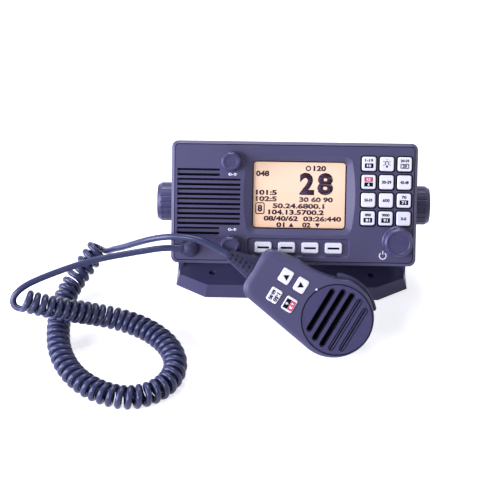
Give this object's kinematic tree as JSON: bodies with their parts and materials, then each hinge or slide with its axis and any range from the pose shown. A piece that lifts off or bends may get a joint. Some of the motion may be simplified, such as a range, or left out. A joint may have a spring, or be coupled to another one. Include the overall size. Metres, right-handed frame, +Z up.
{
  "type": "marine radio",
  "caption": "Fixed-mount marine VHF radio leaning back in a gimbal bracket, with a fist microphone on a curly cord resting against its lower edge.",
  "frame": {"origin": "middle of the bracket's underside, on the surface that it stands on", "axes": "+Z up out of the table, +X towards the user's right along the panel's length, front panel faces -Y and is tilted back"},
  "size_m": [0.3091, 0.2291, 0.1273],
  "materials": {
    "panel_plastic": "fine textured navy grey",
    "bracket_plastic": "moulded navy grey",
    "knob_plastic": "satin",
    "chassis_paint": "powder coated casting",
    "seal_rubber": "black foam rubber",
    "lens_glass": "clear window",
    "screen": "backlit amber display",
    "board_green": "solder mask",
    "mat_rubber": "silicone",
    "key_white": "satin white",
    "speaker_black": "black basket and cone",
    "metal": "machined",
    "nickel": "nickel plated",
    "gland_rubber": "moulded",
    "handset_plastic": "fine textured",
    "grille_plastic": "satin",
    "insert_black": "matt",
    "cord_jacket": "satin polyurethane"
  },
  "bodies": {
    "bracket": {"gimbal_bracket": "bracket_plastic", "cord_radio_lead": "cord_jacket", "cord_curly": "cord_jacket", "cord_mic_lead": "cord_jacket"},
    "radio_head": {"front_panel": "panel_plastic", "panel_seal": "seal_rubber", "rear_chassis": "chassis_paint", "pivot_washer_left": "seal_rubber", "pivot_washer_right": "seal_rubber", "gimbal_stud_left": "metal", "gimbal_stud_right": "metal", "display_lens": "lens_glass", "display_module": "screen", "control_board": "board_green", "key_mat": "mat_rubber", "speaker": "speaker_black", "main_board": "board_green", "squelch_pot": "metal", "volume_pot": "metal", "channel_encoder": "metal", "mic_cord_gland": "gland_rubber", "antenna_socket": "nickel", "supply_gland": "gland_rubber"},
    "squelch_dial": {"squelch_shaft": "metal", "squelch_knob": "knob_plastic"},
    "volume_dial": {"volume_shaft": "metal", "volume_knob": "knob_plastic"},
    "channel_dial": {"channel_shaft": "metal", "channel_knob": "knob_plastic"},
    "clamp_left": {"gimbal_knob_left": "knob_plastic"},
    "clamp_right": {"gimbal_knob_right": "knob_plastic"},
    "handset": {"mic_front_shell": "handset_plastic", "mic_rear_shell": "handset_plastic", "mic_grille": "grille_plastic", "microphone_insert": "insert_black", "mic_board": "board_green", "hang_up_stud": "nickel", "strain_relief": "gland_rubber"},
    "talk_lever": {"talk_button": "gland_rubber"},
    "key_01": {"keypad_key_01": "key_white"},
    "key_02": {"keypad_key_02": "key_white"},
    "key_03": {"keypad_key_03": "key_white"},
    "key_04": {"keypad_key_04": "key_white"},
    "key_05": {"keypad_key_05": "key_white"},
    "key_06": {"keypad_key_06": "key_white"},
    "key_07": {"keypad_key_07": "key_white"},
    "key_08": {"keypad_key_08": "key_white"},
    "key_09": {"keypad_key_09": "key_white"},
    "key_10": {"keypad_key_10": "key_white"},
    "key_11": {"keypad_key_11": "key_white"},
    "key_12": {"keypad_key_12": "key_white"},
    "soft_1": {"soft_key_1": "key_white"},
    "soft_2": {"soft_key_2": "key_white"},
    "soft_3": {"soft_key_3": "key_white"},
    "soft_4": {"soft_key_4": "key_white"},
    "mic_key_1_cap": {"mic_key_1": "key_white"},
    "mic_key_2_cap": {"mic_key_2": "key_white"},
    "mic_key_3_cap": {"mic_key_3": "key_white"},
    "mic_key_4_cap": {"mic_key_4": "key_white"}
  },
  "joints": [
    {"name": "tilt", "type": "hinge", "parent": "bracket", "child": "radio_head", "pos_m": [0, 0, 0.064], "axis": [1, 0, 0], "range_deg": [0, 40]},
    {"name": "clamp_left_turn", "type": "hinge", "parent": "radio_head", "child": "clamp_left", "pos_m": [0, 0, 0.064], "axis": [-1, 0, 0], "range_deg": [-170, 170]},
    {"name": "clamp_right_turn", "type": "hinge", "parent": "radio_head", "child": "clamp_right", "pos_m": [0, 0, 0.064], "axis": [1, 0, 0], "range_deg": [-170, 170]},
    {"name": "squelch_turn", "type": "hinge", "parent": "radio_head", "child": "squelch_dial", "pos_m": [-0.0462, -0.01851, 0.11602], "axis": [0, -0.8192, 0.5736], "range_deg": [-150, 150]},
    {"name": "volume_turn", "type": "hinge", "parent": "radio_head", "child": "volume_dial", "pos_m": [-0.0462, -0.05367, 0.06581], "axis": [0, -0.8192, 0.5736], "range_deg": [-150, 150]},
    {"name": "channel_turn", "type": "hinge", "parent": "radio_head", "child": "channel_dial", "pos_m": [0.0761, -0.05109, 0.0695], "axis": [0, -0.8192, 0.5736], "continuous": true},
    {"name": "key_01_press", "type": "slide", "parent": "radio_head", "child": "key_01", "axis": [0, 0.8192, -0.5736], "range_m": [0, 0.0008], "stiffness_N_per_m": 400, "springref_m": -0.0005},
    {"name": "key_02_press", "type": "slide", "parent": "radio_head", "child": "key_02", "axis": [0, 0.8192, -0.5736], "range_m": [0, 0.0008], "stiffness_N_per_m": 400, "springref_m": -0.0005},
    {"name": "key_03_press", "type": "slide", "parent": "radio_head", "child": "key_03", "axis": [0, 0.8192, -0.5736], "range_m": [0, 0.0008], "stiffness_N_per_m": 400, "springref_m": -0.0005},
    {"name": "key_04_press", "type": "slide", "parent": "radio_head", "child": "key_04", "axis": [0, 0.8192, -0.5736], "range_m": [0, 0.0008], "stiffness_N_per_m": 400, "springref_m": -0.0005},
    {"name": "key_05_press", "type": "slide", "parent": "radio_head", "child": "key_05", "axis": [0, 0.8192, -0.5736], "range_m": [0, 0.0008], "stiffness_N_per_m": 400, "springref_m": -0.0005},
    {"name": "key_06_press", "type": "slide", "parent": "radio_head", "child": "key_06", "axis": [0, 0.8192, -0.5736], "range_m": [0, 0.0008], "stiffness_N_per_m": 400, "springref_m": -0.0005},
    {"name": "key_07_press", "type": "slide", "parent": "radio_head", "child": "key_07", "axis": [0, 0.8192, -0.5736], "range_m": [0, 0.0008], "stiffness_N_per_m": 400, "springref_m": -0.0005},
    {"name": "key_08_press", "type": "slide", "parent": "radio_head", "child": "key_08", "axis": [0, 0.8192, -0.5736], "range_m": [0, 0.0008], "stiffness_N_per_m": 400, "springref_m": -0.0005},
    {"name": "key_09_press", "type": "slide", "parent": "radio_head", "child": "key_09", "axis": [0, 0.8192, -0.5736], "range_m": [0, 0.0008], "stiffness_N_per_m": 400, "springref_m": -0.0005},
    {"name": "key_10_press", "type": "slide", "parent": "radio_head", "child": "key_10", "axis": [0, 0.8192, -0.5736], "range_m": [0, 0.0008], "stiffness_N_per_m": 400, "springref_m": -0.0005},
    {"name": "key_11_press", "type": "slide", "parent": "radio_head", "child": "key_11", "axis": [0, 0.8192, -0.5736], "range_m": [0, 0.0008], "stiffness_N_per_m": 400, "springref_m": -0.0005},
    {"name": "key_12_press", "type": "slide", "parent": "radio_head", "child": "key_12", "axis": [0, 0.8192, -0.5736], "range_m": [0, 0.0008], "stiffness_N_per_m": 400, "springref_m": -0.0005},
    {"name": "soft_1_press", "type": "slide", "parent": "radio_head", "child": "soft_1", "axis": [0, 0.8192, -0.5736], "range_m": [0, 0.0008], "stiffness_N_per_m": 400, "springref_m": -0.0005},
    {"name": "soft_2_press", "type": "slide", "parent": "radio_head", "child": "soft_2", "axis": [0, 0.8192, -0.5736], "range_m": [0, 0.0008], "stiffness_N_per_m": 400, "springref_m": -0.0005},
    {"name": "soft_3_press", "type": "slide", "parent": "radio_head", "child": "soft_3", "axis": [0, 0.8192, -0.5736], "range_m": [0, 0.0008], "stiffness_N_per_m": 400, "springref_m": -0.0005},
    {"name": "soft_4_press", "type": "slide", "parent": "radio_head", "child": "soft_4", "axis": [0, 0.8192, -0.5736], "range_m": [0, 0.0008], "stiffness_N_per_m": 400, "springref_m": -0.0005},
    {"name": "handset_lift", "type": "slide", "parent": "bracket", "child": "handset", "axis": [0, -0.8192, 0.5736], "range_m": [0, 0.12]},
    {"name": "mic_key_1_press", "type": "slide", "parent": "handset", "child": "mic_key_1_cap", "axis": [0, 0.8192, -0.5736], "range_m": [0, 0.0008], "stiffness_N_per_m": 400, "springref_m": -0.0005},
    {"name": "mic_key_2_press", "type": "slide", "parent": "handset", "child": "mic_key_2_cap", "axis": [0, 0.8192, -0.5736], "range_m": [0, 0.0008], "stiffness_N_per_m": 400, "springref_m": -0.0005},
    {"name": "mic_key_3_press", "type": "slide", "parent": "handset", "child": "mic_key_3_cap", "axis": [0, 0.8192, -0.5736], "range_m": [0, 0.0008], "stiffness_N_per_m": 400, "springref_m": -0.0005},
    {"name": "mic_key_4_press", "type": "slide", "parent": "handset", "child": "mic_key_4_cap", "axis": [0, 0.8192, -0.5736], "range_m": [0, 0.0008], "stiffness_N_per_m": 400, "springref_m": -0.0005},
    {"name": "talk_press", "type": "slide", "parent": "handset", "child": "talk_lever", "axis": [-0.6718, -0.4249, -0.6068], "range_m": [0, 0.0012], "stiffness_N_per_m": 600, "springref_m": -0.001}
  ]
}
